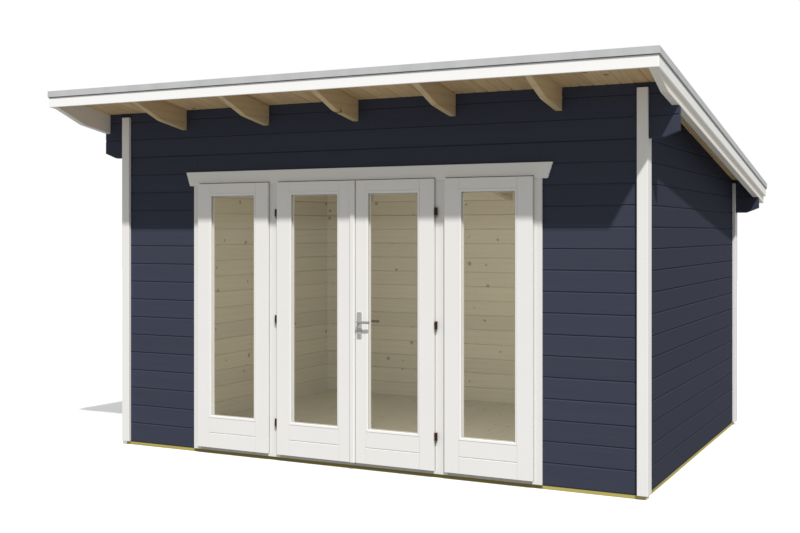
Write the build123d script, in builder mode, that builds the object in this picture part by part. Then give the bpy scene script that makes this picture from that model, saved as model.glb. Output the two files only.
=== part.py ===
from build123d import *
import os
from math import ceil, floor, radians, tan

# Log-built garden office: pent roof, glazed double doors between fixed sidelights
# X runs along the front, the front looks to -Y, Z is up from the ground

# Log walls
wall_length = 4000.0
wall_depth = 3000.0
log_thickness = 44.0
log_cover = 135.0
bottom_log_height = 141.0
groove_width = 12.0
groove_depth = 6.0
ear_length = 208.0
front_ear_height = 338.0
ear_chamfer_run = 100.0
ear_chamfer_rise = 39.0

# Base and floor
rail_height = 26.0
rail_width = 70.0
bearer_width = 45.0
bearer_count = 5
floor_thickness = 19.0
floor_gap = 2.0

# Corner boards
corner_board_width = 68.0
corner_board_thickness = 26.0
corner_board_drop = 31.0

# Roof
roof_pitch = 9.0
front_overhang = 583.0
back_overhang = 250.0
deck_thickness = 18.0
covering_thickness = 4.0
fascia_thickness = 18.0
fascia_drop = 87.0
trim_thickness = 8.0
trim_height = 43.0
trim_top_thickness = 4.0
trim_flange = 60.0

# Rafters
rafter_thickness = 45.0
rafter_depth = 146.0
rafter_spacing = 728.0
rafter_count = 5
rafter_knee = 280.0
notch_gap = 0.5

# Door set: four leaves of one size, the middle two hinged
door_half_width = 611.0
sidelight_width = 609.0
mullion_show = 78.0
jamb_show = 54.0
leaf_bottom = 51.0
leaf_height = 1925.0
leaf_thickness = 56.0
leaf_stand = 24.0
lip_width = 13.0
running_gap = 5.0
fixed_gap = 1.0
frame_stand = 18.0
frame_flange = 20.0
head_height = 57.0
header_height = 103.0
header_reach = 71.0
header_slant = 34.0

# Leaf construction
stile_width = 109.0
meeting_stile = 111.0
top_rail_height = 80.0
bottom_rail_height = 225.0
bottom_rail_joint = 108.0
bead_width = 17.0
bead_step = 1.5
glass_set_back = 6.0
glass_thickness = 14.0
glass_grip = 10.0
glass_gap = 0.3
inner_bead_depth = 12.0

# Meeting strip on the left door
meeting_gap = 7.0
strip_reach = 20.0
strip_width = 38.0
strip_thickness = 12.0
strip_chamfer = 5.0

# Hinges
hinge_radius = 8.0
hinge_length = 68.0
hinge_pin_radius = 3.5
hinge_pin_length = 30.0
hinge_pin_gap = 0.3
hinge_neck_radius = 4.0
hinge_offset = 13.0
hinge_clear = 5.0
hinge_shares = (0.112, 0.493, 0.883)

# Lever handle on the right door
handle_edge = 29.0
handle_height = 1013.0
plate_width = 36.0
plate_height = 178.0
plate_thickness = 6.0
plate_drop = 23.0
plate_corner = 8.0
cylinder_radius = 8.5
cylinder_drop = 84.0
cylinder_stand = 3.0
lever_half_height = 9.0
lever_half_thickness = 7.0
lever_reach = 37.0
lever_length = 96.0
lever_bend = 14.0
spindle_radius = 5.0
spindle_gap = 0.3
spindle_hole_radius = 8.0

# Cuts run past the faces they pass through by this much
overrun = 50.0

# Planes that the pieces share, from front to back and from the middle out
roof_slope = tan(radians(roof_pitch))
half_length = wall_length / 2
front_face = (front_overhang - back_overhang - wall_depth) / 2
back_face = front_face + wall_depth
wall_middle = (front_face + back_face) / 2
front_inner = front_face + log_thickness
back_inner = back_face - log_thickness
side_inner = half_length - log_thickness
fascia_front = front_face - front_overhang
fascia_back = back_face + back_overhang
deck_front = fascia_front + fascia_thickness
deck_back = fascia_back - fascia_thickness
verge = half_length + ear_length
barge_face = verge + fascia_thickness
trim_face = barge_face + trim_thickness

# Door set
frame_face = front_face - frame_stand
frame_depth = front_inner - frame_face
frame_middle = (frame_face + front_inner) / 2
leaf_face = frame_face - leaf_stand
leaf_back = leaf_face + leaf_thickness
leaf_top = leaf_bottom + leaf_height
frame_top = leaf_top - lip_width
header_top = frame_top + header_height
sidelight_inner = door_half_width + mullion_show
sidelight_outer = sidelight_inner + sidelight_width
frame_half = sidelight_outer + jamb_show
core_half = frame_half - frame_flange
opening_half = core_half + fixed_gap
opening_top = frame_top + head_height + fixed_gap
door_reveal = door_half_width - lip_width
inner_reveal = sidelight_inner + lip_width
outer_reveal = sidelight_outer - lip_width
pane_front = leaf_face + glass_set_back
pane_back = pane_front + glass_thickness
inner_bead_back = pane_back + inner_bead_depth
right_door_edge = strip_reach + meeting_gap
hinge_line_x = door_half_width + hinge_offset
hinge_line_y = frame_face - hinge_clear - hinge_radius
hinge_heights = [leaf_bottom + share * leaf_height for share in hinge_shares]
handle_x = right_door_edge + handle_edge

# Levels: the front eared logs start at the first joint over the header board
first_joint = rail_height + bottom_log_height
front_ear_bottom = first_joint + ceil((header_top - first_joint) / log_cover) * log_cover
soffit_height = front_ear_bottom + front_ear_height


def soffit(y):
    return soffit_height - (y - front_face) * roof_slope


# The back eared logs start at the last joint under the rafters
rafter_foot = soffit(back_face) - rafter_depth
back_ear_bottom = first_joint + floor((rafter_foot - first_joint) / log_cover) * log_cover
joint_count = floor((soffit_height - first_joint) / log_cover) + 1
log_joints = [first_joint + i * log_cover for i in range(joint_count)]
roof_peak = soffit(fascia_front) + overrun
roof_fall = soffit(fascia_front) - soffit(fascia_back)
covering_rise = deck_thickness + covering_thickness
trim_rise = covering_rise + trim_top_thickness
rafter_places = [(i - (rafter_count - 1) / 2) * rafter_spacing for i in range(rafter_count)]
verge_place = verge - rafter_thickness / 2


def outline(left, right, bottom, top):
    Polygon((left, bottom), (right, bottom), (right, top), (left, top), align=None)


def slope_band(near, far, low, high):
    # A side view of a layer that follows the roof, measured plumb from the soffit
    Polygon((near, soffit(near) + low), (far, soffit(far) + low), (far, soffit(far) + high),
            (near, soffit(near) + high), align=None)


def groove():
    # Cut across a face this leaves a V, at a piece's edge a bevel
    Polygon((groove_depth, 0), (0, groove_width / 2), (-groove_depth, 0), (0, -groove_width / 2))


def save(piece, name):
    piece.part.label = name
    export_step(piece.part, f"parts/{name}.step")


def cut_grooves(plane, near, far, run):
    # Grooves at every log joint, on both faces of the wall being made
    with BuildSketch(plane) as grooves:
        with Locations(*[(face, height) for face in (near, far) for height in log_joints]):
            groove()
    extrude(grooves.sketch, amount=run, both=True, mode=Mode.SUBTRACT)


def cut_roof(run):
    # Everything above the underside of the roof deck is taken off
    with BuildSketch(Plane.YZ) as above:
        slope_band(fascia_front, fascia_back, 0, roof_fall + overrun)
    extrude(above.sketch, amount=run, both=True, mode=Mode.SUBTRACT)


def cut_rafter_notches():
    # Housings for the rafters, and open ones at the ends for the verge rafters
    for place in rafter_places + [-verge_place, verge_place]:
        with BuildSketch(Plane.YZ.offset(place)) as notch:
            slope_band(fascia_front, fascia_back, -rafter_depth, roof_fall + overrun)
        extrude(notch.sketch, amount=rafter_thickness / 2 + notch_gap, both=True, mode=Mode.SUBTRACT)


def wall_panel(left, right, bottom, top, outer):
    # A stretch of front or back wall, log profiled on both faces
    with BuildPart() as panel:
        with BuildSketch(Plane.XZ.offset(-outer)):
            outline(left, right, bottom, top)
        extrude(amount=-log_thickness)
        cut_grooves(Plane.YZ, outer, outer + log_thickness, half_length + overrun)
    return panel


def eared_wall(bottom, outer):
    # Top logs that run past the side walls to carry the verge rafters
    chamfer_start = verge - ear_chamfer_run
    chamfer_end = bottom + ear_chamfer_rise
    with BuildPart() as panel:
        with BuildSketch(Plane.XZ.offset(-outer)):
            Polygon((-chamfer_start, bottom), (chamfer_start, bottom), (verge, chamfer_end),
                    (verge, roof_peak), (-verge, roof_peak), (-verge, chamfer_end), align=None)
        extrude(amount=-log_thickness)
        cut_grooves(Plane.YZ, outer, outer + log_thickness, verge + overrun)
        cut_roof(verge + overrun)
        cut_rafter_notches()
    return panel


os.makedirs("parts", exist_ok=True)

# Base rails, flush with the wall faces
with BuildPart() as long_rails:
    with BuildSketch(Plane.XY):
        outline(-half_length, half_length, front_face, front_face + rail_width)
        outline(-half_length, half_length, back_face - rail_width, back_face)
    extrude(amount=rail_height)
save(long_rails, "base_rails_long")

with BuildPart() as short_rails:
    with BuildSketch(Plane.XY):
        outline(-half_length, rail_width - half_length, front_face + rail_width, back_face - rail_width)
        outline(half_length - rail_width, half_length, front_face + rail_width, back_face - rail_width)
    extrude(amount=rail_height)
save(short_rails, "base_rails_short")

with BuildPart() as bearers:
    bearer_spacing = (wall_length - 2 * rail_width) / (bearer_count + 1)
    with BuildSketch(Plane.XY):
        with Locations((0, wall_middle)):
            with GridLocations(bearer_spacing, 0, bearer_count, 1):
                Rectangle(bearer_width, wall_depth - 2 * rail_width)
    extrude(amount=rail_height)
save(bearers, "floor_bearers")

with BuildPart() as floor_boards:
    with BuildSketch(Plane.XY.offset(rail_height)):
        outline(floor_gap - side_inner, side_inner - floor_gap,
                front_inner + floor_gap, back_inner - floor_gap)
    extrude(amount=floor_thickness)
save(floor_boards, "floor")

# Front wall, in pieces beside and over the door set
save(wall_panel(-half_length, -opening_half, rail_height, front_ear_bottom, front_face), "front_wall_left")
save(wall_panel(opening_half, half_length, rail_height, front_ear_bottom, front_face), "front_wall_right")
lintel = wall_panel(-opening_half, opening_half, opening_top, front_ear_bottom, front_face)
save(lintel, "front_wall_lintel")
save(eared_wall(front_ear_bottom, front_face), "front_wall_top")

# Back wall
save(wall_panel(-half_length, half_length, rail_height, back_ear_bottom, back_inner), "back_wall")
save(eared_wall(back_ear_bottom, back_inner), "back_wall_top")

# Side walls stand between the front and back walls under the slope of the roof
for name, way in (("left_wall", -1), ("right_wall", 1)):
    with BuildPart() as side_wall:
        with BuildSketch(Plane.YZ.offset(way * half_length)):
            Polygon((front_inner, rail_height), (back_inner, rail_height),
                    (back_inner, soffit(back_inner)), (front_inner, soffit(front_inner)), align=None)
        extrude(amount=-way * log_thickness)
        cut_grooves(Plane.XZ, way * half_length, way * side_inner, wall_depth)
    save(side_wall, name)

# Corner boards on the front and back faces
board_inner = half_length + corner_board_thickness - corner_board_width
board_outer = half_length + corner_board_thickness
with BuildPart() as end_boards:
    for outer, way in ((front_face, 1), (back_face, -1)):
        board_top = soffit(outer) - corner_board_drop
        with BuildSketch(Plane.XZ.offset(-outer)):
            outline(board_inner, board_outer, rail_height, board_top)
            outline(-board_outer, -board_inner, rail_height, board_top)
        extrude(amount=way * corner_board_thickness)
save(end_boards, "corner_boards_front_back")

# Corner boards on the side walls, cut round the ears
front_board_edge = front_face + corner_board_width
back_board_edge = back_face - corner_board_width
with BuildPart() as side_boards:
    for way in (1, -1):
        with BuildSketch(Plane.YZ.offset(way * half_length)):
            Polygon((front_face, rail_height), (front_board_edge, rail_height),
                    (front_board_edge, soffit(front_board_edge) - corner_board_drop),
                    (front_inner, soffit(front_inner) - corner_board_drop),
                    (front_inner, front_ear_bottom), (front_face, front_ear_bottom), align=None)
            Polygon((back_face, rail_height), (back_board_edge, rail_height),
                    (back_board_edge, soffit(back_board_edge) - corner_board_drop),
                    (back_inner, soffit(back_inner) - corner_board_drop),
                    (back_inner, back_ear_bottom), (back_face, back_ear_bottom), align=None)
        extrude(amount=way * corner_board_thickness)
save(side_boards, "corner_boards_sides")


def rafter(place):
    # Full-length rafter with a tapered nose from the knee up to the fascia
    knee_y = front_face - rafter_knee
    with BuildPart() as beam:
        with BuildSketch(Plane.YZ.offset(place)):
            Polygon((deck_front, soffit(deck_front)), (deck_front, soffit(deck_front) - fascia_drop),
                    (knee_y, soffit(knee_y) - rafter_depth), (deck_back, soffit(deck_back) - rafter_depth),
                    (deck_back, soffit(deck_back)), align=None)
        extrude(amount=rafter_thickness / 2, both=True)
    return beam


# Rafters, then the two outside the side walls
for number, place in enumerate(rafter_places, 1):
    save(rafter(place), f"rafter_{number}")
save(rafter(-verge_place), "verge_rafter_left")
save(rafter(verge_place), "verge_rafter_right")

# Roof boards and the covering on them
with BuildPart() as deck:
    with BuildSketch(Plane.YZ):
        slope_band(deck_front, deck_back, 0, deck_thickness)
    extrude(amount=verge, both=True)
save(deck, "roof_deck")

with BuildPart() as covering:
    with BuildSketch(Plane.YZ):
        slope_band(fascia_front, fascia_back, deck_thickness, covering_rise)
    extrude(amount=barge_face, both=True)
save(covering, "roof_covering")

# Fascias across the front and back, bargeboards down the sides
with BuildPart() as fascias:
    for outer, inner in ((fascia_front, deck_front), (fascia_back, deck_back)):
        board_bottom = soffit(inner) - fascia_drop
        with BuildSketch(Plane.YZ):
            Polygon((outer, board_bottom), (inner, board_bottom), (inner, soffit(inner) + deck_thickness),
                    (outer, soffit(outer) + deck_thickness), align=None)
        extrude(amount=barge_face, both=True)
save(fascias, "fascia_boards")

with BuildPart() as bargeboards:
    for way in (1, -1):
        with BuildSketch(Plane.YZ.offset(way * verge)):
            slope_band(deck_front, deck_back, -fascia_drop, deck_thickness)
        extrude(amount=way * fascia_thickness)
save(bargeboards, "bargeboards")

# Edge trim: an angle along each edge of the roof, its face leg standing off the boards below
with BuildPart() as eaves_trim:
    for edge, way in ((fascia_front, -1), (fascia_back, 1)):
        face = edge + way * trim_thickness
        low = soffit(edge) + trim_rise - trim_height
        with BuildSketch(Plane.YZ):
            slope_band(edge - way * trim_flange, edge, covering_rise, trim_rise)
        extrude(amount=barge_face, both=True)
        with BuildSketch(Plane.YZ):
            Polygon((face, low), (edge, low), (edge, soffit(edge) + trim_rise),
                    (face, soffit(face) + trim_rise), align=None)
        extrude(amount=trim_face, both=True)
save(eaves_trim, "eaves_trim")

with BuildPart() as verge_trim:
    for way in (1, -1):
        with BuildSketch(Plane.YZ.offset(way * barge_face)):
            slope_band(fascia_front, fascia_back, trim_rise - trim_height, trim_rise)
        extrude(amount=way * trim_thickness)
        with BuildSketch(Plane.YZ.offset(way * barge_face)):
            slope_band(fascia_front + trim_flange, fascia_back - trim_flange, covering_rise, trim_rise)
        extrude(amount=-way * trim_flange)
save(verge_trim, "verge_trim")

# Door frame posts: flanged jambs that lap the logs, and plain mullions
with BuildPart() as posts:
    with BuildSketch(Plane.XY.offset(rail_height)):
        for way in (1, -1):
            Polygon((way * outer_reveal, frame_face), (way * frame_half, frame_face),
                    (way * frame_half, front_face), (way * core_half, front_face),
                    (way * core_half, front_inner), (way * outer_reveal, front_inner), align=None)
            with Locations((way * (door_reveal + inner_reveal) / 2, frame_middle)):
                Rectangle(inner_reveal - door_reveal, frame_depth)
    extrude(amount=frame_top - rail_height)
save(posts, "door_frame_posts")

with BuildPart() as head:
    with BuildSketch(Plane.XY.offset(frame_top)):
        outline(-core_half, core_half, front_face, front_inner)
    extrude(amount=head_height)
save(head, "door_frame_head")

# Header board over the door set, its ends sloping inwards to the bottom
header_half = frame_half + header_reach
header_foot = header_half - header_slant
with BuildPart() as header:
    with BuildSketch(Plane.XZ.offset(-front_face)):
        Polygon((-header_foot, frame_top), (header_foot, frame_top), (header_half, header_top),
                (-header_half, header_top), align=None)
    extrude(amount=frame_stand)
save(header, "door_header_board")

# Threshold under the doors and sills under the sidelights
with BuildPart() as threshold:
    with BuildSketch(Plane.XY.offset(rail_height)):
        outline(-door_reveal, door_reveal, frame_face, front_inner)
    extrude(amount=leaf_bottom - running_gap - rail_height)
    with BuildSketch(Plane.XY.offset(rail_height)):
        outline(inner_reveal, outer_reveal, frame_face, front_inner)
        outline(-outer_reveal, -inner_reveal, frame_face, front_inner)
    extrude(amount=leaf_bottom - rail_height)
save(threshold, "threshold")

# Leaf: lipped blank, bevelled outer beads, flat inner beads and a rebate that grips the pane
pane_bottom = leaf_bottom + bottom_rail_height + bead_width
pane_top = leaf_top - top_rail_height - bead_width
pane_middle = (pane_bottom + pane_top) / 2
pane_height = pane_top - pane_bottom
sidelight_pane_width = sidelight_width - 2 * (stile_width + bead_width)
sidelight_pane_x = sidelight_inner + sidelight_width / 2
door_pane_width = door_half_width - stile_width - meeting_stile - 2 * bead_width
door_pane_x = meeting_stile + bead_width + door_pane_width / 2


def pane_outline(y, pane, grow):
    x, width = pane
    with BuildSketch(Plane.XZ.offset(-y)) as opening:
        with Locations((x, pane_middle)):
            Rectangle(width + 2 * grow, pane_height + 2 * grow)
    return opening.sketch


def make_leaf(edges, body, body_top, lip_back, pane):
    with BuildPart() as leaf:
        with BuildSketch(Plane.XZ.offset(-leaf_face)):
            outline(*edges, leaf_bottom, leaf_top)
        extrude(amount=leaf_face - lip_back)
        with BuildSketch(Plane.XZ.offset(-lip_back)):
            outline(*body, leaf_bottom, body_top)
        extrude(amount=lip_back - leaf_back)
        extrude(pane_outline(leaf_face, pane, bead_width), amount=-bead_step, mode=Mode.SUBTRACT)
        bead_edge = pane_outline(leaf_face + bead_step, pane, bead_width)
        loft([bead_edge, pane_outline(pane_front, pane, 0)], mode=Mode.SUBTRACT)
        extrude(pane_outline(pane_front, pane, glass_grip), amount=-glass_thickness, mode=Mode.SUBTRACT)
        extrude(pane_outline(pane_back, pane, 0), amount=pane_back - leaf_back, mode=Mode.SUBTRACT)
        extrude(pane_outline(inner_bead_back, pane, bead_width), amount=inner_bead_back - leaf_back,
                mode=Mode.SUBTRACT)
        x, width = pane
        with BuildSketch(Plane.YZ.offset(x)):
            with Locations((leaf_face, leaf_bottom + bottom_rail_joint)):
                groove()
        extrude(amount=width / 2 + bead_width, both=True, mode=Mode.SUBTRACT)
    return leaf


def make_glass(pane):
    with BuildPart() as glass:
        extrude(pane_outline(pane_front + glass_gap, pane, glass_grip - glass_gap),
                amount=2 * glass_gap - glass_thickness)
    return glass


left_light_pane = (-sidelight_pane_x, sidelight_pane_width)
right_light_pane = (sidelight_pane_x, sidelight_pane_width)
left_door_pane = (-door_pane_x, door_pane_width)
right_door_pane = (door_pane_x, door_pane_width)

# Fixed sidelights, seated on the frame
sash_near = inner_reveal + fixed_gap
sash_far = outer_reveal - fixed_gap
left_light = make_leaf((-sidelight_outer, -sidelight_inner), (-sash_far, -sash_near),
                       frame_top - fixed_gap, frame_face, left_light_pane)
right_light = make_leaf((sidelight_inner, sidelight_outer), (sash_near, sash_far),
                        frame_top - fixed_gap, frame_face, right_light_pane)
with BuildPart() as sidelights:
    add(left_light.part)
    add(right_light.part)
save(sidelights, "sidelights")

left_pane = make_glass(left_light_pane)
right_pane = make_glass(right_light_pane)
with BuildPart() as sidelight_glass:
    add(left_pane.part)
    add(right_pane.part)
save(sidelight_glass, "sidelight_glass")

# Hinged leaves, clear of the frame all round
door_body = door_reveal - running_gap
lip_back = frame_face - running_gap
left_door = make_leaf((-door_half_width, strip_reach), (-door_body, strip_reach),
                      frame_top - running_gap, lip_back, left_door_pane)
save(left_door, "left_door_leaf")
save(make_glass(left_door_pane), "left_door_glass")

right_blank = make_leaf((right_door_edge, door_half_width), (right_door_edge, door_body),
                        frame_top - running_gap, lip_back, right_door_pane)
with BuildPart() as right_door:
    add(right_blank.part)
    with BuildSketch(Plane.XZ.offset(-leaf_face)):
        with Locations((handle_x, handle_height)):
            Circle(spindle_hole_radius)
    extrude(amount=-leaf_thickness, mode=Mode.SUBTRACT)
save(right_door, "right_door_leaf")
save(make_glass(right_door_pane), "right_door_glass")

# Meeting strip over the closing edge of the left door
with BuildPart() as strip:
    with BuildSketch(Plane.XZ.offset(-leaf_face)):
        outline(strip_reach - strip_width, strip_reach, leaf_bottom, leaf_top)
    extrude(amount=strip_thickness)
    chamfer(strip.faces().sort_by(Axis.Y)[0].edges().filter_by(Axis.Z), strip_chamfer)
save(strip, "meeting_strip")

# Hinges: lower knuckle and pin on the frame, upper knuckle on the leaf
knuckle = hinge_length / 2
with BuildPart() as hinge_pins:
    for way in (1, -1):
        for height in hinge_heights:
            with BuildSketch(Plane.XY.offset(height - knuckle)):
                with Locations((way * hinge_line_x, hinge_line_y)):
                    Circle(hinge_radius)
            extrude(amount=knuckle - hinge_pin_gap)
            with BuildSketch(Plane.XY.offset(height - hinge_pin_gap)):
                with Locations((way * hinge_line_x, hinge_line_y)):
                    Circle(hinge_pin_radius)
            extrude(amount=hinge_pin_length)
            with BuildSketch(Plane.XZ.offset(-hinge_line_y)):
                with Locations((way * hinge_line_x, height - knuckle / 2)):
                    Circle(hinge_neck_radius)
            extrude(amount=hinge_line_y - frame_face)
save(hinge_pins, "hinge_pins")

for name, way in (("left_hinge_knuckles", -1), ("right_hinge_knuckles", 1)):
    with BuildPart() as knuckles:
        for height in hinge_heights:
            with BuildSketch(Plane.XY.offset(height)):
                with Locations((way * hinge_line_x, hinge_line_y)):
                    Circle(hinge_radius)
            extrude(amount=knuckle)
            with BuildSketch(Plane.YZ.offset(way * hinge_line_x)):
                with Locations((hinge_line_y, height + knuckle / 2)):
                    Circle(hinge_neck_radius)
            extrude(amount=-way * hinge_offset)
            with BuildSketch(Plane.XY.offset(height)):
                with Locations((way * hinge_line_x, hinge_line_y)):
                    Circle(hinge_pin_radius + hinge_pin_gap)
            extrude(amount=hinge_pin_length, mode=Mode.SUBTRACT)
    save(knuckles, name)

# Handle plates on both faces of the right door, each with its key cylinder
with BuildPart() as plates:
    for face, way in ((leaf_face, 1), (leaf_back, -1)):
        with BuildSketch(Plane.XZ.offset(-face)):
            with Locations((handle_x, handle_height - plate_drop)):
                RectangleRounded(plate_width, plate_height, plate_corner)
            with Locations((handle_x, handle_height)):
                Circle(spindle_radius + spindle_gap, mode=Mode.SUBTRACT)
        extrude(amount=way * plate_thickness)
        with BuildSketch(Plane.XZ.offset(way * plate_thickness - face)):
            with Locations((handle_x, handle_height - cylinder_drop)):
                Circle(cylinder_radius)
        extrude(amount=way * cylinder_stand)
save(plates, "handle_plates")

# Levers outside and inside on one spindle
lever_stand = plate_thickness + spindle_gap
with BuildPart() as lever:
    for face, way in ((leaf_face - lever_stand, -1), (leaf_back + lever_stand, 1)):
        grip = face + way * lever_reach
        with BuildLine() as lever_path:
            FilletPolyline((handle_x, face, handle_height), (handle_x, grip, handle_height),
                           (handle_x + lever_length, grip, handle_height), radius=lever_bend)
        with BuildSketch(Plane.XZ.offset(-face)):
            with Locations((handle_x, handle_height)):
                Ellipse(lever_half_thickness, lever_half_height)
        sweep(path=lever_path.line)
    with BuildSketch(Plane.XZ.offset(lever_stand - leaf_face)):
        with Locations((handle_x, handle_height)):
            Circle(spindle_radius)
    extrude(amount=-(leaf_thickness + 2 * lever_stand))
save(lever, "door_lever")
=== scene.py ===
import math

import bmesh
import bpy
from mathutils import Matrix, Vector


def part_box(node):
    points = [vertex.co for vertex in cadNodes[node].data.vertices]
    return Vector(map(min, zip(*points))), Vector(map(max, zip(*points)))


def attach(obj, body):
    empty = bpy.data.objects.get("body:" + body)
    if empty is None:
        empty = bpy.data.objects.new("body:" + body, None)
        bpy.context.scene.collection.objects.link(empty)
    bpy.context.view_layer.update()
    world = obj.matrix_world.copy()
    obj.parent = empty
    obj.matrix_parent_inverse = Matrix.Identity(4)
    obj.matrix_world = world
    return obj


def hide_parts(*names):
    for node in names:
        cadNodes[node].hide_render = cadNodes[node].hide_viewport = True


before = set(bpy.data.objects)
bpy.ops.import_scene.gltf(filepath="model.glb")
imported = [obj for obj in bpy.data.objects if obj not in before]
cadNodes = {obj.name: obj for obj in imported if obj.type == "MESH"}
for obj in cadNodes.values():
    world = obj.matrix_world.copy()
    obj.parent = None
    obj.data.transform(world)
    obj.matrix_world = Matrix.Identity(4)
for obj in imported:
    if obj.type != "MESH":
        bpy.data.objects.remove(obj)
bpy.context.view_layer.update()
scene = bpy.context.scene
print("frame loaded:", len(cadNodes), "nodes")

# places shared with the solids, in metres
roofPitch = math.radians(9.0)
site = {
    "frontFace": -1.3335, "frontInner": -1.2895, "backFace": 1.6665, "sideFace": 2.0, "sideInner": 1.956,
    "frameFace": -1.3515, "framePost": 1.352, "cornerBoard": 1.958,
    "firstJoint": 0.167, "logCover": 0.135,
    "soffitHeight": 2.530, "slope": math.tan(roofPitch),
    "deckFront": -1.8985, "deckBack": 1.8985, "fasciaFace": 1.9165, "verge": 2.208, "bargeFace": 2.226,
}


def soffit(y):
    return site["soffitHeight"] - (y - site["frontFace"]) * site["slope"]


def addToScene(name, data):
    thing = bpy.data.objects.new(name, data)
    scene.collection.objects.link(thing)
    return thing


# node trees

def put(tree, kind, inputs=None, **settings):
    node = tree.nodes.new(kind)
    for name, value in settings.items():
        setattr(node, name, value)
    for name, value in (inputs or {}).items():
        socket = node.inputs[name]
        if isinstance(value, bpy.types.NodeSocket):
            tree.links.new(value, socket)
        else:
            socket.default_value = value
    return node


def maths(tree, operation, first, second=0.0):
    return put(tree, "ShaderNodeMath", {0: first, 1: second}, operation=operation).outputs[0]


def ramp(tree, factor, stops):
    node = put(tree, "ShaderNodeValToRGB", {"Fac": factor})
    marks = node.color_ramp.elements
    marks[0].position, marks[0].color = stops[0][0], (*stops[0][1], 1)
    marks[1].position, marks[1].color = stops[-1][0], (*stops[-1][1], 1)
    for place, colour in stops[1:-1]:
        marks.new(place).color = (*colour, 1)
    return node.outputs["Color"]


def fade(tree, factor, low, high, start=0.0, end=1.0):
    node = put(tree, "ShaderNodeMapRange", {"Value": factor, "From Min": low, "From Max": high,
                                            "To Min": start, "To Max": end})
    return node.outputs["Result"]


def mixColours(tree, factor, first, second, blend="MIX"):
    node = put(tree, "ShaderNodeMix", {0: factor, 6: first, 7: second}, data_type="RGBA", blend_type=blend)
    return node.outputs[2]


def noise(tree, place, scale, detail, roughness=0.55, distortion=0.0):
    node = put(tree, "ShaderNodeTexNoise", {"Vector": place, "Scale": scale, "Detail": detail,
                                            "Roughness": roughness, "Distortion": distortion})
    return node.outputs["Fac"]


def startMaterial(name):
    material = bpy.data.materials.new(name)
    material.use_nodes = True
    tree = material.node_tree
    tree.nodes.clear()
    place = put(tree, "ShaderNodeTexCoord").outputs["Object"]
    return material, tree, place


def endMaterial(tree, inputs, height=None, strength=None, depth=None):
    if height is not None:
        inputs = dict(inputs)
        inputs["Normal"] = put(tree, "ShaderNodeBump", {"Strength": strength, "Distance": depth,
                                                        "Height": height}).outputs["Normal"]
    surface = put(tree, "ShaderNodeBsdfPrincipled", inputs)
    put(tree, "ShaderNodeOutputMaterial", {"Surface": surface.outputs[0]})


grain = {"shift": 37.0, "along": 1.3, "detail": 5.0, "roughness": 0.6, "distortion": 0.35}


def grainPlace(tree, place, along, across, row=None, stacked=None):
    # along the grain, across the board's face and through it, shifted from board to board
    # row gives the first joint between boards and their spacing, without it each board has its own boardTone
    parts = put(tree, "ShaderNodeSeparateXYZ", {0: place}).outputs
    through = ({"X", "Y", "Z"} - {along, across}).pop()
    if row is None:
        tone = put(tree, "ShaderNodeAttribute", attribute_name="boardTone").outputs["Fac"]
    else:
        count = put(tree, "ShaderNodeMapRange", {"Value": parts[stacked or across], "From Min": row[0],
                                                 "From Max": row[0] + row[1]}, clamp=False).outputs["Result"]
        board = maths(tree, "FLOOR", count)
        tone = put(tree, "ShaderNodeTexWhiteNoise", {"W": board}, noise_dimensions="1D").outputs["Value"]
    shift = maths(tree, "MULTIPLY", tone, grain["shift"])
    turned = put(tree, "ShaderNodeCombineXYZ", {
        0: maths(tree, "ADD", parts[along], shift), 1: parts[across],
        2: maths(tree, "ADD", parts[through], shift)}).outputs[0]
    return turned, tone


def grainStreaks(tree, turned, fineness):
    stretched = put(tree, "ShaderNodeMapping", {"Vector": turned, "Scale": (grain["along"], fineness, fineness)})
    return noise(tree, stretched.outputs[0], 1.0, grain["detail"], grain["roughness"], grain["distortion"])


pineGrain = {"streaks": 55.0, "streakDepth": 0.4, "flame": (0.55, 3.0, 3.0), "waver": 5.0, "rings": 38.0,
             "ringPower": 3.0, "wobbleScale": 24.0, "wobble": 0.016, "eddyReach": 0.22, "eddy": 2.2,
             "knotsPerMetre": 4.0, "knotSize": 0.085, "knotEdge": (0.35, 1.25), "knotDepth": 0.85, "noKnot": 0.3,
             "leastGirth": 0.002}
pineLook = {"pale": (0.77, 0.57, 0.325), "late": (0.65, 0.44, 0.21), "knot": (0.2, 0.1, 0.04), "ringDepth": 0.55,
            "tones": (0.86, 1.07)}
rafterLook = {**pineLook, "pale": (0.69, 0.545, 0.325), "late": (0.585, 0.42, 0.215), "tones": (0.95, 1.06)}
# roomLook is for pine inside the room, paler and greyer than the same pine outdoors: a painted grey veil of reflection
# from the glass; floorLook builds on it
roomLook = {"pale": (0.612, 0.552, 0.418), "late": (0.56, 0.497, 0.363), "knot": (0.27, 0.185, 0.095),
            "ringDepth": 0.4, "tones": (0.94, 1.04)}
floorLook = {**roomLook, "pale": (0.565, 0.515, 0.398), "late": (0.53, 0.475, 0.358), "ringDepth": 0.12,
             "tones": (0.97, 1.02)}


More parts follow.
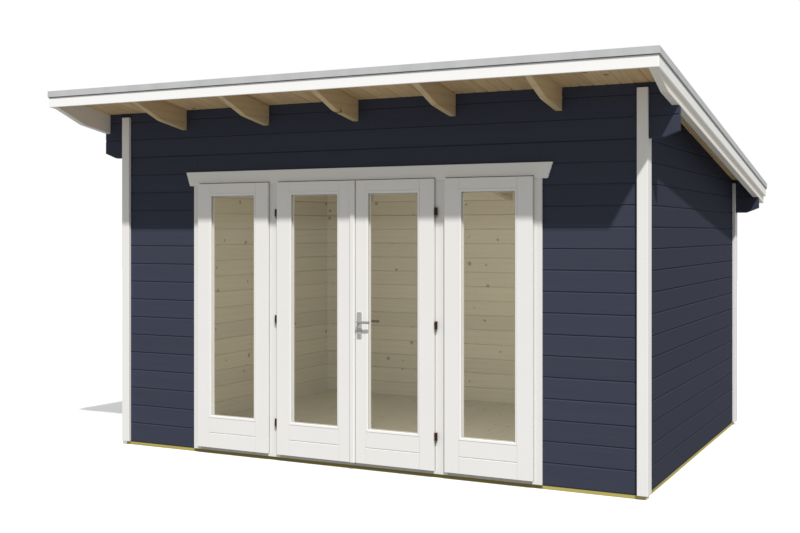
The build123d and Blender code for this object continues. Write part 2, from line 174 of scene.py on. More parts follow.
def pineColour(tree, turned, tone, look):
    streaks = grainStreaks(tree, turned, pineGrain["streaks"])
    parts = put(tree, "ShaderNodeSeparateXYZ", {0: turned}).outputs
    flame = put(tree, "ShaderNodeMapping", {"Vector": turned, "Scale": pineGrain["flame"]})
    waver = maths(tree, "MULTIPLY", noise(tree, flame.outputs[0], 1.0, 2.0), pineGrain["waver"])
    wobble = put(tree, "ShaderNodeTexNoise", {"Vector": turned, "Scale": pineGrain["wobbleScale"],
                                              "Detail": 2.0}).outputs["Color"]
    wobble = put(tree, "ShaderNodeVectorMath", {0: wobble, "Scale": pineGrain["wobble"]}, operation="SCALE").outputs[0]
    uneven = put(tree, "ShaderNodeVectorMath", {0: turned, 1: wobble}).outputs[0]
    cells = put(tree, "ShaderNodeTexVoronoi", {"Vector": uneven, "Scale": pineGrain["knotsPerMetre"]},
                voronoi_dimensions="2D").outputs
    dice = put(tree, "ShaderNodeSeparateColor", {0: cells["Color"]}).outputs[0]
    # some cells have no knot, the others differ in size
    girth = fade(tree, dice, pineGrain["noKnot"], 1.0, pineGrain["leastGirth"], 1.0)
    knots = maths(tree, "DIVIDE", cells["Distance"], girth)
    eddy = maths(tree, "MULTIPLY", fade(tree, knots, 0.0, pineGrain["eddyReach"], 1.0, 0.0), pineGrain["eddy"])
    bands = maths(tree, "MULTIPLY", parts[1], pineGrain["rings"])
    rings = maths(tree, "PINGPONG", maths(tree, "ADD", bands, maths(tree, "ADD", waver, eddy)), 1.0)
    late = maths(tree, "MULTIPLY", maths(tree, "POWER", rings, pineGrain["ringPower"]), look["ringDepth"])
    late = maths(tree, "ADD", late, fade(tree, streaks, 0.35, 0.75, 0.0, pineGrain["streakDepth"]))
    wood = mixColours(tree, late, (*look["pale"], 1), (*look["late"], 1))
    wood = mixColours(tree, 1.0, wood, fade(tree, tone, 0.0, 1.0, *look["tones"]), "MULTIPLY")
    core, rim = [pineGrain["knotSize"] * part for part in pineGrain["knotEdge"]]
    heart = fade(tree, knots, core, rim, pineGrain["knotDepth"], 0.0)
    return mixColours(tree, heart, wood, (*look["knot"], 1)), late


def insideRoom(tree, place):
    # one within the middle of the walls, nought outside them
    parts = put(tree, "ShaderNodeSeparateXYZ", {0: place}).outputs
    half = (site["sideFace"] - site["sideInner"]) / 2
    within = maths(tree, "LESS_THAN", maths(tree, "ABSOLUTE", parts["X"]), site["sideFace"] - half)
    within = maths(tree, "MULTIPLY", within, maths(tree, "GREATER_THAN", parts["Y"], site["frontFace"] + half))
    return maths(tree, "MULTIPLY", within, maths(tree, "LESS_THAN", parts["Y"], site["backFace"] - half))


def barePine(name, along, across, look, row=None, stacked=None, indoors=None):
    material, tree, place = startMaterial(name)
    turned, tone = grainPlace(tree, place, along, across, row, stacked)
    colour, late = pineColour(tree, turned, tone, look)
    # inside the room the same boards take roomLook, a painted grey veil of reflection from the glass
    if indoors:
        colour = mixColours(tree, insideRoom(tree, place), colour, pineColour(tree, turned, tone, indoors)[0])
    endMaterial(tree, {"Base Color": colour, "Roughness": fade(tree, late, 0.0, 1.0, 0.62, 0.48)},
                late, strength=0.18, depth=0.0008)
    return material


logLook = {"navy": (0.046, 0.052, 0.079), "worn": (0.051, 0.0575, 0.0855), "streaks": 40.0, "tones": (0.97, 1.03),
           "seam": 0.0045, "seamCore": 0.4, "seamOut": 0.96, "seamIn": 0.89, "jointsBelow": 4}


def paintedLogs(name, along, darker=1.0):
    # navy paint outside, bare pine on the faces that look into the room, in roomLook's painted grey veil of reflection
    material, tree, place = startMaterial(name)
    turned, tone = grainPlace(tree, place, along, "Z", (site["firstJoint"], site["logCover"]))
    pine = pineColour(tree, turned, tone, roomLook)[0]
    streaks = grainStreaks(tree, turned, logLook["streaks"])
    navy = mixColours(tree, fade(tree, streaks, 0.3, 0.75), (*logLook["navy"], 1), (*logLook["worn"], 1))
    # darker scales the navy down: painted shade on the walls that take it
    darkest, palest = [[darker * part] * 3 for part in logLook["tones"]]
    navy = mixColours(tree, 1.0, navy, ramp(tree, tone, [(0.0, darkest), (1.0, palest)]), "MULTIPLY")
    within = insideRoom(tree, place)
    height = put(tree, "ShaderNodeSeparateXYZ", {0: place}).outputs["Z"]
    height = maths(tree, "SUBTRACT", height, site["firstJoint"] - logLook["jointsBelow"] * site["logCover"])
    seam = maths(tree, "PINGPONG", height, site["logCover"] / 2)  # distance to the nearest joint
    dark = fade(tree, within, 0.0, 1.0, logLook["seamOut"], logLook["seamIn"])
    seam = fade(tree, seam, logLook["seam"] * logLook["seamCore"], logLook["seam"], dark, 1.0)
    wood = mixColours(tree, 1.0, mixColours(tree, within, navy, pine), seam, "MULTIPLY")
    endMaterial(tree, {"Base Color": wood, "Roughness": fade(tree, streaks, 0.2, 0.8, 0.75, 0.9),
                       "Specular IOR Level": 0.05}, streaks, strength=0.16, depth=0.001)
    return material


paint = {"row": (0.0, 0.9), "streaks": 70.0, "streakDepth": 0.3, "cloud": 3.0, "cloudDepth": 0.4}


def whitePaint(name, along, across, pale=(0.87, 0.86, 0.843), dull=(0.83, 0.82, 0.8)):
    material, tree, place = startMaterial(name)
    turned = grainPlace(tree, place, along, across, paint["row"])[0]
    streaks = grainStreaks(tree, turned, paint["streaks"])
    cloud = noise(tree, place, paint["cloud"], 3.0)
    white = mixColours(tree, fade(tree, streaks, 0.3, 0.8, 0.0, paint["streakDepth"]), (*pale, 1), (*dull, 1))
    white = mixColours(tree, fade(tree, cloud, 0.35, 0.75, 0.0, paint["cloudDepth"]), white, (*dull, 1))
    endMaterial(tree, {"Base Color": white, "Roughness": fade(tree, streaks, 0.2, 0.8, 0.34, 0.5)},
                streaks, strength=0.025, depth=0.0006)
    return material


railLook = {"row": (0.0, 0.4), "streaks": 60.0, "paintedShade": (0.5, 0.48, 0.34),
            "stops": [(0.25, (0.34, 0.28, 0.07)), (0.55, (0.5, 0.425, 0.12)), (0.8, (0.56, 0.485, 0.17))]}


def treatedWood(name, along):
    # the rail under the doors is painted darker: painted shade under the door frame
    material, tree, place = startMaterial(name)
    turned = grainPlace(tree, place, along, "Z", railLook["row"])[0]
    streaks = grainStreaks(tree, turned, railLook["streaks"])
    wood = ramp(tree, streaks, railLook["stops"])
    parts = put(tree, "ShaderNodeSeparateXYZ", {0: place}).outputs
    # paintedShade marks the front rail under the doors, which is painted darker as shade
    paintedShade = maths(tree, "LESS_THAN", maths(tree, "ABSOLUTE", parts["X"]), site["framePost"])
    paintedShade = maths(tree, "MULTIPLY", paintedShade, maths(tree, "LESS_THAN", parts["Y"], site["frontInner"]))
    wood = mixColours(tree, paintedShade, wood, mixColours(tree, 1.0, wood, (*railLook["paintedShade"], 1), "MULTIPLY"))
    endMaterial(tree, {"Base Color": wood, "Roughness": fade(tree, streaks, 0.2, 0.8, 0.65, 0.85)},
                streaks, strength=0.45, depth=0.0015)
    return material


def coatedMetal(name, pale, dull, metallic, rough, scale=9.0, shine=0.5):
    material, tree, place = startMaterial(name)
    upright = scale * 0.15  # the mottling is drawn out upwards
    streak = put(tree, "ShaderNodeMapping", {"Vector": place, "Scale": (scale, scale, upright)})
    mottle = noise(tree, streak.outputs[0], 1.0, 5.0, 0.6)
    colour = mixColours(tree, fade(tree, mottle, 0.3, 0.75), (*pale, 1), (*dull, 1))
    endMaterial(tree, {"Base Color": colour, "Metallic": metallic, "Specular IOR Level": shine,
                       "Roughness": fade(tree, mottle, 0.25, 0.75, *rough)}, mottle, strength=0.05, depth=0.0006)
    return material


brush = {"across": 900.0, "along": 25.0, "dark": 0.86, "metallic": 0.5}


def brushedMetal(name, colour, along, roomSideShade=None):
    # brushed along one axis; the room's side may be painted a darker colour, painted shade and reflection of the room
    material, tree, place = startMaterial(name)
    fine = [brush["along"] if axis == along else brush["across"] for axis in "XYZ"]
    brushed = put(tree, "ShaderNodeMapping", {"Vector": place, "Scale": fine})
    lines = noise(tree, brushed.outputs[0], 1.0, 3.0)
    shade = mixColours(tree, lines, (*[part * brush["dark"] for part in colour], 1), (*colour, 1))
    if roomSideShade:
        parts = put(tree, "ShaderNodeSeparateXYZ", {0: place}).outputs
        within = maths(tree, "GREATER_THAN", parts["Y"], site["frontFace"])
        shade = mixColours(tree, within, shade, (*roomSideShade, 1))
    endMaterial(tree, {"Base Color": shade, "Metallic": brush["metallic"],
                       "Roughness": fade(tree, lines, 0.2, 0.8, 0.34, 0.48)}, lines, strength=0.06, depth=0.0002)
    return material


feltLook = {"grit": 420.0, "patch": 2.4, "patchDepth": 0.4, "dark": (0.055, 0.057, 0.062), "pale": (0.1, 0.1, 0.105),
            "worn": (0.12, 0.118, 0.115)}


def roofFelt(name):
    material, tree, place = startMaterial(name)
    grit = put(tree, "ShaderNodeTexVoronoi", {"Vector": place, "Scale": feltLook["grit"]}).outputs["Distance"]
    patch = noise(tree, place, feltLook["patch"], 5.0)
    colour = mixColours(tree, fade(tree, grit, 0.1, 0.7), (*feltLook["dark"], 1), (*feltLook["pale"], 1))
    wear = fade(tree, patch, 0.35, 0.8, 0.0, feltLook["patchDepth"])
    colour = mixColours(tree, wear, colour, (*feltLook["worn"], 1))
    endMaterial(tree, {"Base Color": colour, "Roughness": fade(tree, patch, 0.2, 0.8, 0.8, 0.95)},
                grit, strength=0.5, depth=0.001)
    return material


glassLook = {"smear": 5.0, "darker": (0.24, 0.32, 0.3), "pale": (0.29, 0.37, 0.35), "index": 1.5, "cover": 0.065}


def clearGlass(name):
    material, tree, place = startMaterial(name)
    smear = noise(tree, place, glassLook["smear"], 4.0)
    tint = mixColours(tree, fade(tree, smear, 0.35, 0.7), (*glassLook["darker"], 1), (*glassLook["pale"], 1))
    endMaterial(tree, {"Base Color": tint, "Roughness": fade(tree, smear, 0.3, 0.7, 0.02, 0.05),
                       "IOR": glassLook["index"], "Alpha": glassLook["cover"]})
    return material


rafterRow = (-0.364, 0.728)  # halfway between two rafters, and their spacing
finishes = {
    "logsAlongFront": paintedLogs("logsAlongFront", "X"),
    # the side walls' navy is painted darker: painted shade on the side walls
    "logsAlongSide": paintedLogs("logsAlongSide", "Y", 0.86),
    "whiteUpright": whitePaint("whiteUpright", "Z", "X"),
    "whiteAlongFront": whitePaint("whiteAlongFront", "X", "Z"),
    "postWhite": whitePaint("postWhite", "Z", "X", (0.81, 0.8, 0.782), (0.77, 0.76, 0.74)),
    # the inner beads, seen through the glass, are painted brighter and creamier than the door's white: painted light
    "beadPaintedLight": whitePaint("beadPaintedLight", "Z", "X", (0.97, 0.945, 0.87), (0.93, 0.905, 0.83)),
    # the verge rafters are painted a warmer cream: painted warm bounce light from the pine
    "vergeWarmBounce": whitePaint("vergeWarmBounce", "Y", "Z", (0.89, 0.85, 0.775), (0.85, 0.81, 0.735)),
    "fasciaWhite": whitePaint("fasciaWhite", "X", "Z", (0.985, 0.985, 0.98), (0.965, 0.965, 0.955)),
    "bargeWhite": whitePaint("bargeWhite", "Y", "Z", (0.94, 0.94, 0.925), (0.9, 0.9, 0.88)),
    "rafterPine": barePine("rafterPine", "Y", "Z", rafterLook, rafterRow, "X", roomLook),
    "roofBoardPine": barePine("roofBoardPine", "Y", "X", pineLook, indoors=roomLook),
    "floorBoardPine": barePine("floorBoardPine", "Y", "X", floorLook),
    "treatedAlongFront": treatedWood("treatedAlongFront", "X"),
    "treatedAlongSide": treatedWood("treatedAlongSide", "Y"),
    "greyTrim": coatedMetal("greyTrim", (0.58, 0.59, 0.6), (0.5, 0.51, 0.52), 0.0, (0.38, 0.52)),
    # painted shadow strips under the trim, dark under the eaves trim and grey under the verge trim
    "trimShadowDark": coatedMetal("trimShadowDark", (0.1, 0.1, 0.105), (0.07, 0.07, 0.075), 0.0, (0.6, 0.75)),
    "trimShadowGrey": coatedMetal("trimShadowGrey", (0.27, 0.27, 0.275), (0.22, 0.22, 0.225), 0.0, (0.6, 0.75)),
    "hingeBrown": coatedMetal("hingeBrown", (0.036, 0.014, 0.0045), (0.055, 0.021, 0.006), 0.0, (0.3, 0.42),
                              60.0, 0.2),
    # black for the glazing gaskets; on the frame's shadow lines and the key slots it is painted shade
    "sealAndShadowBlack": coatedMetal("sealAndShadowBlack", (0.11, 0.107, 0.1), (0.14, 0.137, 0.13), 0.0, (0.7, 0.85), 40.0),
    "hingeGrey": coatedMetal("hingeGrey", (0.3, 0.29, 0.28), (0.24, 0.235, 0.23), 0.6, (0.35, 0.5), 60.0),
    "handleNickel": brushedMetal("handleNickel", (0.62, 0.62, 0.61), "Z"),
    # the inner lever is painted dark olive: painted shade and reflection of the room
    "leverSteel": brushedMetal("leverSteel", (0.45, 0.45, 0.445), "X", (0.13, 0.105, 0.05)),
    # black for the painted shadow line between the base rails and the logs
    "shadowBlack": coatedMetal("shadowBlack", (0.02, 0.02, 0.02), (0.03, 0.03, 0.028), 0.0, (0.6, 0.75), 40.0, 0.3),
    "sillGrey": coatedMetal("sillGrey", (0.55, 0.53, 0.5), (0.47, 0.45, 0.42), 0.6, (0.4, 0.55), 20.0),
    "roofFelt": roofFelt("roofFelt"),
    "clearGlass": clearGlass("clearGlass"),
}
print("materials:", len(finishes))


# geometry node trees

def startTree(name, inputs, takesPoints):
    tree = bpy.data.node_groups.new(name, "GeometryNodeTree")
    if takesPoints:
        tree.interface.new_socket("Points", in_out="INPUT", socket_type="NodeSocketGeometry")
    for label, kind in inputs:
        tree.interface.new_socket(label, in_out="INPUT", socket_type="NodeSocket" + kind)
    tree.interface.new_socket("Mesh", in_out="OUTPUT", socket_type="NodeSocketGeometry")
    return tree, put(tree, "NodeGroupInput").outputs


def endTree(tree, instances, material):
    real = put(tree, "GeometryNodeRealizeInstances", {0: instances}).outputs[0]
    done = put(tree, "GeometryNodeSetMaterial", {"Geometry": real, "Material": material}).outputs[0]
    put(tree, "NodeGroupOutput", {0: done})


def boardRowTree():
    # one chamfered board repeated along a row, each with a tone of its own
    tree, given = startTree("boardRow", [
        ("Count", "Int"), ("Start", "Vector"), ("Step", "Vector"), ("Run", "Vector"), ("Width", "Float"),
        ("Depth", "Float"), ("Chamfer", "Float"), ("Tilt", "Float"), ("Seed", "Int"), ("Finish", "Material")], False)
    row = put(tree, "GeometryNodeMeshLine", {"Count": given["Count"], "Start Location": given["Start"],
                                             "Offset": given["Step"]}, mode="OFFSET").outputs[0]
    path = put(tree, "GeometryNodeCurvePrimitiveLine", {"End": given["Run"]}).outputs[0]
    path = put(tree, "GeometryNodeSetCurveNormal", {"Curve": path}, mode="Z_UP").outputs[0]
    path = put(tree, "GeometryNodeSetCurveTilt", {"Curve": path, "Tilt": given["Tilt"]}).outputs[0]
    section = put(tree, "GeometryNodeCurvePrimitiveQuadrilateral", {"Width": given["Width"],
                                                                   "Height": given["Depth"]}).outputs[0]
    section = put(tree, "GeometryNodeFilletCurve", {"Curve": section, "Radius": given["Chamfer"]}, mode="POLY")
    board = put(tree, "GeometryNodeCurveToMesh", {"Curve": path, "Profile Curve": section.outputs[0],
                                                  "Fill Caps": True}).outputs[0]
    board = put(tree, "GeometryNodeSetShadeSmooth", {"Geometry": board, "Shade Smooth": False}).outputs[0]
    boards = put(tree, "GeometryNodeInstanceOnPoints", {"Points": row, "Instance": board}).outputs[0]
    tone = put(tree, "FunctionNodeRandomValue", {"Seed": given["Seed"]}).outputs[1]
    boards = put(tree, "GeometryNodeStoreNamedAttribute", {"Geometry": boards, "Name": "boardTone", "Value": tone},
                 domain="INSTANCE").outputs[0]
    endTree(tree, boards, given["Finish"])
    return tree


def headTree():
    # a low tapered head on each point, facing the way the point says
    tree, given = startTree("fixingHeads", [("Sides", "Int"), ("Radius", "Float"), ("Taper", "Float"),
                                            ("Height", "Float"), ("Finish", "Material")], True)
    rim = put(tree, "GeometryNodeMeshCone", {
        "Vertices": given["Sides"], "Radius Top": maths(tree, "MULTIPLY", given["Radius"], given["Taper"]),
        "Radius Bottom": given["Radius"], "Depth": given["Height"]}).outputs[0]
    facing = put(tree, "GeometryNodeInputNamedAttribute", {"Name": "facing"}, data_type="FLOAT_VECTOR").outputs[0]
    turn = put(tree, "FunctionNodeAlignRotationToVector", {"Vector": facing}, axis="Z").outputs[0]
    heads = put(tree, "GeometryNodeInstanceOnPoints", {"Points": given["Points"], "Instance": rim,
                                                       "Rotation": turn}).outputs[0]
    endTree(tree, heads, given["Finish"])
    return tree


def growPiece(name, tree, values, points=()):
    mesh = bpy.data.meshes.new(name)
    mesh.from_pydata([place for place, way in points], [], [])
    if points:
        ways = mesh.attributes.new("facing", "FLOAT_VECTOR", "POINT")
        for i, (place, way) in enumerate(points):
            ways.data[i].vector = way
    piece = addToScene(name, mesh)
    modifier = piece.modifiers.new("grow", "NODES")
    modifier.node_group = tree
    for socket in tree.interface.items_tree:
        if socket.in_out == "INPUT" and socket.name in values:
            modifier[socket.identifier] = values[socket.name]
    depsgraph = bpy.context.evaluated_depsgraph_get()
    grown = bpy.data.meshes.new_from_object(piece.evaluated_get(depsgraph), preserve_all_data_layers=True,
                                            depsgraph=depsgraph)
    piece.modifiers.remove(modifier)
    piece.data = grown
    bpy.data.meshes.remove(mesh)
    grown.name = name
    return piece


boardRow = boardRowTree()
fixingHeads = headTree()


# mesh helpers
easing = {"segments": 2, "angle": 32, "merge": 0.00002, "flat": 1.0, "round": 30}


def softEdges(piece, width):
    bevel = piece.modifiers.new("softEdges", "BEVEL")
    bevel.width = width
    bevel.segments = easing["segments"]
    bevel.limit_method = "ANGLE"
    bevel.angle_limit = math.radians(easing["angle"])
    bevel.use_clamp_overlap = True


def smoothRound(mesh, angle):
    mesh.polygons.foreach_set("use_smooth", [True] * len(mesh.polygons))
    mesh.set_sharp_from_angle(angle=math.radians(angle))


def settle(piece, body, node=None):
    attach(piece, body)
    if node:
        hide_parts(node)


def dressNode(node, body, finish, edge=0, rounded=False):
    # a copy of the solid with its edges eased
    mesh = cadNodes[node].data.copy()
    shell = bmesh.new()
    shell.from_mesh(mesh)
    bmesh.ops.remove_doubles(shell, verts=shell.verts, dist=easing["merge"])
    flat = math.radians(easing["flat"])
    bmesh.ops.dissolve_limit(shell, angle_limit=flat, verts=shell.verts, edges=shell.edges)
    shell.to_mesh(mesh)
    shell.free()
    mesh.materials.clear()
    mesh.materials.append(finishes[finish])
    piece = addToScene(node + "_dressed", mesh)
    if rounded:
        smoothRound(mesh, easing["round"])
    if edge:
        softEdges(piece, edge)
    settle(piece, body, node)


def joinOutlines(shell, near, far, coat):
    # a closed block between two outlines with the same number of corners
    starts = [shell.verts.new(corner) for corner in near]
    ends = [shell.verts.new(corner) for corner in far]
    faces = [shell.faces.new(starts), shell.faces.new(list(reversed(ends)))]
    for i in range(len(starts)):
        j = (i + 1) % len(starts)
        faces.append(shell.faces.new((starts[j], starts[i], ends[i], ends[j])))
    for face in faces:
        face.material_index = coat
    bmesh.ops.recalc_face_normals(shell, faces=faces)


def extrudeOutline(shell, outline, start, end, axis, coat=0):
    # outline in (x, y) for axis Z, in (y, z) for axis X
    near, far = [[(*point, place) if axis == "Z" else (place, *point) for point in outline] for place in (start, end)]
    joinOutlines(shell, near, far, coat)


def rectangle(left, near, right, far):
    return [(left, near), (right, near), (right, far), (left, far)]


def pieceFromShell(name, shell, *coats):
    mesh = bpy.data.meshes.new(name)
    shell.to_mesh(mesh)
    shell.free()
    for coat in coats:
        mesh.materials.append(finishes[coat])
    return addToScene(name, mesh)


# log walls, corner boards, base
edges = {"log": 0.0016, "board": 0.003, "rail": 0.002, "rafter": 0.004, "metal": 0.0012}
for node in ("front_wall_left", "front_wall_right", "front_wall_lintel", "front_wall_top", "back_wall",
             "back_wall_top"):
    dressNode(node, "cabin", "logsAlongFront", edges["log"])
for node in ("left_wall", "right_wall"):
    dressNode(node, "cabin", "logsAlongSide", edges["log"])
for node, finish in (("corner_boards_front_back", "whiteUpright"), ("corner_boards_sides", "whiteUpright"),
                     ("door_frame_posts", "postWhite")):
    dressNode(node, "cabin", finish, edges["board"])
for node, finish in (("base_rails_long", "treatedAlongFront"), ("base_rails_short", "treatedAlongSide"),
                     ("floor_bearers", "treatedAlongSide")):
    dressNode(node, "cabin", finish, edges["rail"])
print("walls and base dressed")

# roof frame, header board and frame head
for number in range(1, 6):
    dressNode("rafter_%d" % number, "cabin", "rafterPine", edges["rafter"])
for node, finish in (("verge_rafter_left", "vergeWarmBounce"), ("verge_rafter_right", "vergeWarmBounce"),
                     ("bargeboards", "bargeWhite"), ("fascia_boards", "fasciaWhite"),
                     ("door_header_board", "whiteAlongFront"), ("door_frame_head", "whiteAlongFront")):
    dressNode(node, "cabin", finish, edges["board"])
for node in ("eaves_trim", "verge_trim"):
    dressNode(node, "cabin", "greyTrim", edges["metal"])
dressNode("roof_covering", "cabin", "roofFelt")

# a dark strip under each face of the trim is painted shadow of the gap there, the trim's lower edge lies this far under
# the soffit plane
trimShadow = {"under": 0.017, "drop": 0.005, "stand": 0.0055}
shell = bmesh.new()
slopeTop = [(y, soffit(y) - trimShadow["under"]) for y in (-site["fasciaFace"], site["fasciaFace"])]
slopeBottom = [(y, z - trimShadow["drop"]) for y, z in reversed(slopeTop)]
for way in (-1, 1):
    inner, outer = way * site["fasciaFace"], way * (site["fasciaFace"] + trimShadow["stand"])
    top = soffit(inner) - trimShadow["under"]
    extrudeOutline(shell, rectangle(inner, top, outer, top - trimShadow["drop"]), -site["bargeFace"], site["bargeFace"], "X")
    extrudeOutline(shell, slopeTop + slopeBottom, way * site["bargeFace"], way * (site["bargeFace"] + trimShadow["stand"]),
                   "X", 1)
settle(pieceFromShell("trim_shadow_strips", shell, "trimShadowDark", "trimShadowGrey"), "cabin")

roofBoards = {"count": 50, "depth": 0.018, "gap": 0.0006, "chamfer": 0.0065, "seed": 7}
step = 2 * site["verge"] / roofBoards["count"]
front, back = site["deckFront"], site["deckBack"]
boards = growPiece("roof_boards", boardRow, {
    "Count": roofBoards["count"], "Step": (step, 0, 0),
    "Start": (step / 2 - site["verge"], front, soffit(front) + roofBoards["depth"] / 2),
    "Run": (0, back - front, soffit(back) - soffit(front)),
    "Width": step - roofBoards["gap"], "Depth": roofBoards["depth"] * math.cos(roofPitch),
    "Chamfer": roofBoards["chamfer"], "Tilt": 0.0, "Seed": roofBoards["seed"], "Finish": finishes["roofBoardPine"]})
settle(boards, "cabin", "roof_deck")
print("roof boards:", len(boards.data.polygons), "faces")

floorBoards = {"count": 34, "depth": 0.019, "gap": 0.0006, "chamfer": 0.002, "seed": 3, "bottom": 0.026}
low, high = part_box("floor")
step = (high[0] - low[0]) / floorBoards["count"]
boards = growPiece("floor_boards", boardRow, {
    "Count": floorBoards["count"], "Step": (step, 0, 0),
    "Start": (low[0] + step / 2, low[1], floorBoards["bottom"] + floorBoards["depth"] / 2),
    "Run": (0, high[1] - low[1], 0), "Width": step - floorBoards["gap"], "Depth": floorBoards["depth"],
    "Chamfer": floorBoards["chamfer"], "Tilt": 0.0, "Seed": floorBoards["seed"], "Finish": finishes["floorBoardPine"]})
settle(boards, "cabin", "floor")

# door set
doorEdges = {"sill": 0.0015, "strip": 0.002, "fitting": 0.0015}
dressNode("threshold", "cabin", "sillGrey", doorEdges["sill"])
dressNode("meeting_strip", "left_door", "whiteUpright", doorEdges["strip"])
for node, body in (("sidelight_glass", "cabin"), ("left_door_glass", "left_door"), ("right_door_glass", "right_door")):
    dressNode(node, body, "clearGlass")

leaf = {"face": -1.3755, "back": -1.3195, "bottom": 0.051, "top": 1.976, "joint": 0.159, "groove": 0.003,
        "crack": 0.0011, "ease": 0.0012,
        "paneFront": -1.3695, "paneBack": -1.3555, "innerBack": -1.3435, "paneBottom": 0.293, "paneTop": 1.879,
        "bead": 0.0235, "beadIn": 0.006, "beadGap": 0.0008, "beadProud": 0.0025, "beadFlat": 0.0005,
        "beadBevel": 0.004,
        "gasket": 0.0018, "gasketUnder": 0.001, "gasketRoot": 0.0012, "gasketTip": 0.0004, "gasketPress": 0.0002}
coats = {"upright": 0, "along": 1, "sealAndShade": 2, "paintedLight": 3}  # in the order of makeSash


def leafBoards(shell, edge, body, bodyTop, lipBack, pane):
    # stiles run full height, rails fit between them, mitred beads hold the pane
    left, right = edge
    inner = (pane[0] - leaf["bead"], pane[1] + leaf["bead"])
    face, back, crack, along = leaf["face"], leaf["back"], leaf["crack"], coats["along"]
    # a stile is notched where its lip laps the frame, behind the lip it stops at the body's top
    for outer, bodyEdge, near in ((left, body[0], inner[0]), (right, body[1], inner[1])):
        extrudeOutline(shell, rectangle(outer, face, near, lipBack), leaf["bottom"], leaf["top"], "Z")
        extrudeOutline(shell, rectangle(bodyEdge, lipBack, near, back), leaf["bottom"], bodyTop, "Z")
    near, far = inner[0] + crack, inner[1] - crack
    railBottom = leaf["paneTop"] + leaf["bead"]
    extrudeOutline(shell, [(face, railBottom), (face, leaf["top"]), (lipBack, leaf["top"]), (lipBack, bodyTop),
                           (back, bodyTop), (back, railBottom)], near, far, "X", along)
    # two boards under the pane, with a V groove between them
    railTop, groove = leaf["paneBottom"] - leaf["bead"], leaf["groove"]
    for bottom, top, lowCut, highCut in ((leaf["bottom"], leaf["joint"] - crack, 0.0, groove),
                                         (leaf["joint"] + crack, railTop, groove, 0.0)):
        outline = [(face, bottom + lowCut), (face, top - highCut), (face + highCut, top), (back, top), (back, bottom),
                   (face + lowCut, bottom)]
        outline = [point for i, point in enumerate(outline) if point != outline[i - 1]]
        extrudeOutline(shell, outline, near, far, "X", along)
    # the outer beads stand a little proud, the inner ones are flat; a section is (out from the pane's edge, y)
    beadOut, beadIn, beadFace = leaf["bead"] - leaf["beadGap"], leaf["beadIn"], face - leaf["beadFlat"]
    paneFront = leaf["paneFront"]
    beadFront = [(beadOut, face - leaf["beadProud"]), (beadIn + leaf["beadBevel"], beadFace),
                 (beadIn, beadFace + leaf["beadBevel"]), (beadIn, paneFront), (beadOut, paneFront)]
    beadBack = [(leaf["bead"], leaf["paneBack"]), (0.0, leaf["paneBack"]), (0.0, leaf["innerBack"]),
                (leaf["bead"], leaf["innerBack"])]
    lip, root, press = beadIn - leaf["gasket"], beadIn + leaf["gasketUnder"], paneFront + leaf["gasketPress"]
    gasket = [(root, paneFront - leaf["gasketRoot"]), (lip, paneFront - leaf["gasketTip"]), (lip, press),
              (root, press)]
    # the inner beads take the painted light coat
    for section, coat, sill in ((beadFront, coats["upright"], 0.0), (beadBack, coats["paintedLight"], beadIn),
                                (gasket, coats["sealAndShade"], 0.0)):
        rings = []
        for grow, y in section:
            bottom, top = leaf["paneBottom"] - max(grow, sill), leaf["paneTop"] + grow
            rings.append([(x, y, z) for x, z in rectangle(pane[0] - grow, bottom, pane[1] + grow, top)])
        for side in range(4):
            joinOutlines(shell, [ring[side] for ring in rings], [ring[(side + 1) % 4] for ring in rings], coat)


def makeSash(name, node, body, leaves):
    shell = bmesh.new()
    for values in leaves:
        leafBoards(shell, *values)
    piece = pieceFromShell(name, shell, "whiteUpright", "whiteAlongFront", "sealAndShadowBlack", "beadPaintedLight")
    softEdges(piece, leaf["ease"])
    settle(piece, body, node)


def mirrored(span):
    return -span[1], -span[0]


# across the front: each leaf's lip, its body behind the lip and its pane
sidelight = {"lip": (0.689, 1.298), "body": (0.703, 1.284), "pane": (0.815, 1.172), "bodyTop": 1.962,
             "lipBack": site["frameFace"]}
door = {"lip": 0.611, "body": 0.593, "pane": (0.128, 0.485), "bodyTop": 1.958, "lipBack": -1.3565,
        "meetingLeft": 0.020, "meetingRight": 0.027}
lip, body, pane = sidelight["lip"], sidelight["body"], sidelight["pane"]
heights = (sidelight["bodyTop"], sidelight["lipBack"])
makeSash("sidelight_sashes", "sidelights", "cabin", [
    (mirrored(lip), mirrored(body), *heights, mirrored(pane)), (lip, body, *heights, pane)])
heights = (door["bodyTop"], door["lipBack"])
meeting = door["meetingLeft"]
makeSash("left_door_sash", "left_door_leaf", "left_door", [
    ((-door["lip"], meeting), (-door["body"], meeting), *heights, mirrored(door["pane"]))])
meeting = door["meetingRight"]
makeSash("right_door_sash", "right_door_leaf", "right_door", [
    ((meeting, door["lip"]), (meeting, door["body"]), *heights, door["pane"])])
print("door leaves made")

# dark strips on the frame just outside each leaf: painted shadow lines along the leaf edges
sealAndShade = {"wide": 0.0018, "tall": 0.006, "thick": 0.002}
shell = bmesh.new()
face, front, wide = site["frameFace"], site["frameFace"] - sealAndShade["thick"], sealAndShade["wide"]
low, high = leaf["bottom"], leaf["top"]
for left, right in (mirrored(sidelight["lip"]), (-door["lip"], door["lip"]), sidelight["lip"]):
    for near, far, bottom, top in ((left - wide, left, low, high), (right, right + wide, low, high),
                                   (left - wide, right + wide, high, high + sealAndShade["tall"])):
        extrudeOutline(shell, rectangle(near, face, far, front), bottom, top, "Z")
settle(pieceFromShell("frame_shadow_lines", shell, "sealAndShadowBlack"), "cabin")

# hinges and handle
for node, body in (("left_hinge_knuckles", "left_door"), ("right_hinge_knuckles", "right_door")):
    dressNode(node, body, "hingeBrown", doorEdges["fitting"], True)
